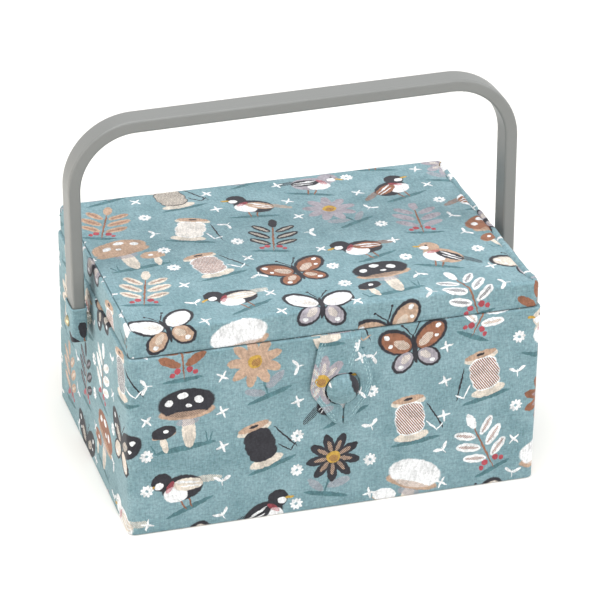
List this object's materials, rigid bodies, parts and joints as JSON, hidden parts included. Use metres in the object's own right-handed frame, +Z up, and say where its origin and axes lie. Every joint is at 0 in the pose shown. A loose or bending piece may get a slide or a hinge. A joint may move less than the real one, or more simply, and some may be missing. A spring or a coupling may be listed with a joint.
{
  "type": "sewing box",
  "caption": "Cloth-covered sewing box with a padded lid hinged at the back, a bent swinging handle, a loop-and-button closure and a lift-out compartment tray.",
  "frame": {"origin": "middle of the underside, on the surface that the box stands on", "axes": "+X to the right along the box's width, +Y to the back hinge, +Z up"},
  "size_m": [0.2996, 0.1962, 0.2442],
  "materials": {
    "printed_cloth": "woven, matt, printed",
    "lining_cloth": "plain woven, matt",
    "pincushion_cloth": "plain woven over stuffing",
    "elastic": "ribbed elastic",
    "wadding": "matt",
    "greyboard": "matt",
    "underside": "matt non-woven",
    "handle_grey": "satin",
    "brass": "polished",
    "spacer_metal": "bright turned",
    "zinc_metal": "dull",
    "tray_plastic": "moulded satin"
  },
  "bodies": {
    "box_body": {"underside_sheet": "underside", "base_board": "greyboard", "body_wall_board": "greyboard", "body_cover_cloth": "printed_cloth", "body_wall_lining": "lining_cloth", "floor_lining_pad": "lining_cloth", "tray_ledge_front": "lining_cloth", "tray_ledge_back": "lining_cloth", "hinge_cloth": "printed_cloth", "button_dome": "printed_cloth", "button_back": "zinc_metal", "button_anchor": "zinc_metal", "pivot_rivet_left": "brass", "pivot_rivet_right": "brass", "pivot_spacer_left": "spacer_metal", "pivot_spacer_right": "spacer_metal", "rivet_washer_left": "zinc_metal", "rivet_washer_right": "zinc_metal"},
    "lid": {"lid_rim_board": "greyboard", "lid_top_board": "greyboard", "lid_wadding_pad": "wadding", "lid_cover_cloth": "printed_cloth", "lid_side_band_left": "printed_cloth", "lid_side_band_right": "printed_cloth", "lid_rim_lining": "lining_cloth", "lid_lining_panel": "lining_cloth", "pincushion": "pincushion_cloth", "lid_pocket_pouch": "lining_cloth", "lid_pocket_elastic": "elastic"},
    "loop": {"closure_loop": "printed_cloth"},
    "handle": {"handle_bow": "handle_grey", "handle_sleeve_left": "printed_cloth", "handle_sleeve_right": "printed_cloth"},
    "tray": {"compartment_tray": "tray_plastic", "tray_grip": "tray_plastic"}
  },
  "joints": [
    {"name": "lid_open", "type": "hinge", "parent": "box_body", "child": "lid", "pos_m": [0, 0.0937, 0.12325], "axis": [-1, 0, 0], "range_deg": [0, 90], "deforming": ["hinge_cloth", "closure_loop"]},
    {"name": "handle_swing", "type": "hinge", "parent": "box_body", "child": "handle", "pos_m": [0, 0, 0.1055], "axis": [-1, 0, 0], "range_deg": [0, 117]},
    {"name": "loop_flip", "type": "hinge", "parent": "lid", "child": "loop", "pos_m": [0, -0.0949, 0.1233], "axis": [-1, 0, 0], "range_deg": [0, 100], "deforming": ["closure_loop"]},
    {"name": "tray_lift", "type": "slide", "parent": "box_body", "child": "tray", "axis": [0, 0, 1], "range_m": [0, 0.04]}
  ],
  "couplings": [
    {"joint": "handle_swing", "follows": "lid_open", "ratio": 1.3},
    {"joint": "tray_lift", "follows": "lid_open", "m_per_rad": 0.025465}
  ]
}
